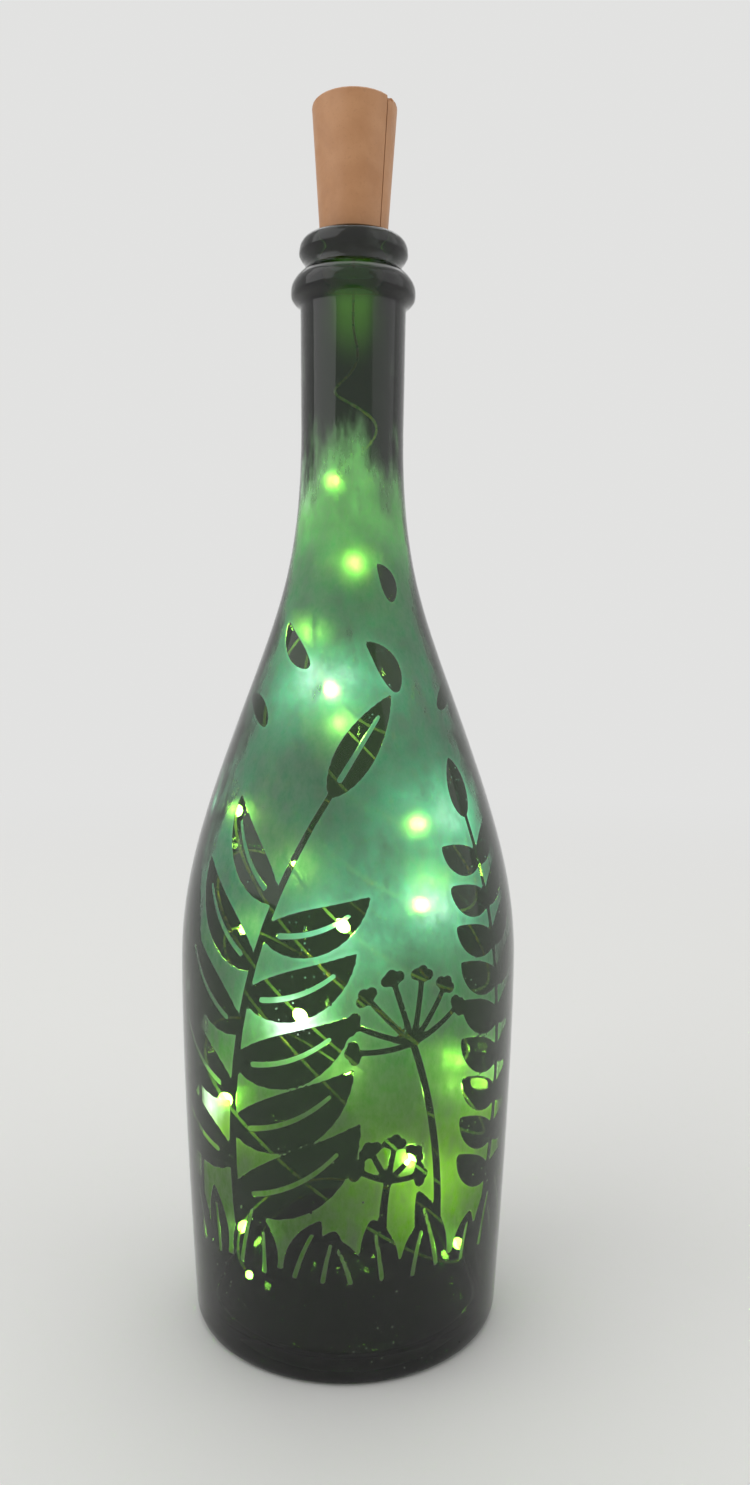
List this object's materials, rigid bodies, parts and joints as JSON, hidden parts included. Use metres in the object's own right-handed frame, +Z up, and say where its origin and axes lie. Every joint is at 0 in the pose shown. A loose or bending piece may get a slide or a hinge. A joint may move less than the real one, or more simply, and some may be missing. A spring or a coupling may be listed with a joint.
{
  "type": "bottle light",
  "caption": "Dark green etched glass bottle lit from inside by a looped string of small lights that hangs from a cork-shaped battery stopper in its mouth.",
  "frame": {"origin": "centre of the bottle's base, on the surface it stands on", "axes": "+Z up along the bottle's axis, -Y towards the viewer of the picture, +X to the viewer's right"},
  "size_m": [0.0914, 0.0914, 0.3254],
  "materials": {
    "green_glass": "dark green bottle glass, clear and glossy, with an etched matt ground on the body and shoulder",
    "cork_plastic": "smooth cork-coloured plastic with a soft sheen",
    "steel": "nickel-plated steel",
    "brass": "plain stamped brass",
    "copper_wire": "enamelled copper wire",
    "clear_resin": "clear glossy resin round a white light chip",
    "black_plastic": "black moulded plastic",
    "black_lead": "black wire insulation",
    "red_lead": "red wire insulation",
    "board": "green lacquered circuit board",
    "white_plastic": "off-white moulded plastic"
  },
  "bodies": {
    "bottle": {"glass_bottle": "green_glass", "light_string": "copper_wire", "led_01": "clear_resin", "led_02": "clear_resin", "led_03": "clear_resin", "led_04": "clear_resin", "led_05": "clear_resin", "led_06": "clear_resin", "led_07": "clear_resin", "led_08": "clear_resin", "led_09": "clear_resin", "led_10": "clear_resin", "led_11": "clear_resin", "led_12": "clear_resin", "led_13": "clear_resin", "led_14": "clear_resin", "led_15": "clear_resin", "led_16": "clear_resin", "led_17": "clear_resin", "led_18": "clear_resin", "led_19": "clear_resin", "led_20": "clear_resin", "string_tip": "clear_resin"},
    "stopper": {"cork_body": "cork_plastic", "cell_1": "steel", "cell_2": "steel", "cell_3": "steel", "spring_plate": "steel", "contact_spring": "steel", "positive_contact": "brass", "battery_lead": "black_lead", "switch_lead": "red_lead", "switch_frame": "steel", "switch_base": "black_plastic", "switch_pin_1": "steel", "switch_pin_2": "steel", "switch_pin_3": "steel", "circuit_board": "board", "resistor": "black_plastic", "bottom_plug": "white_plastic"},
    "cover": {"battery_cover": "cork_plastic"},
    "switch": {"switch_slider": "black_plastic", "switch_wiper": "brass"}
  },
  "joints": [
    {"name": "stopper_pull", "type": "slide", "parent": "bottle", "child": "stopper", "axis": [0, 0, 1], "range_m": [0, 0.05]},
    {"name": "cover_slide", "type": "slide", "parent": "stopper", "child": "cover", "axis": [0, 0, 1], "range_m": [0, 0.032]},
    {"name": "switch_slide", "type": "slide", "parent": "stopper", "child": "switch", "axis": [0.7604, -0.6494, 0], "range_m": [0, 0.002]}
  ]
}
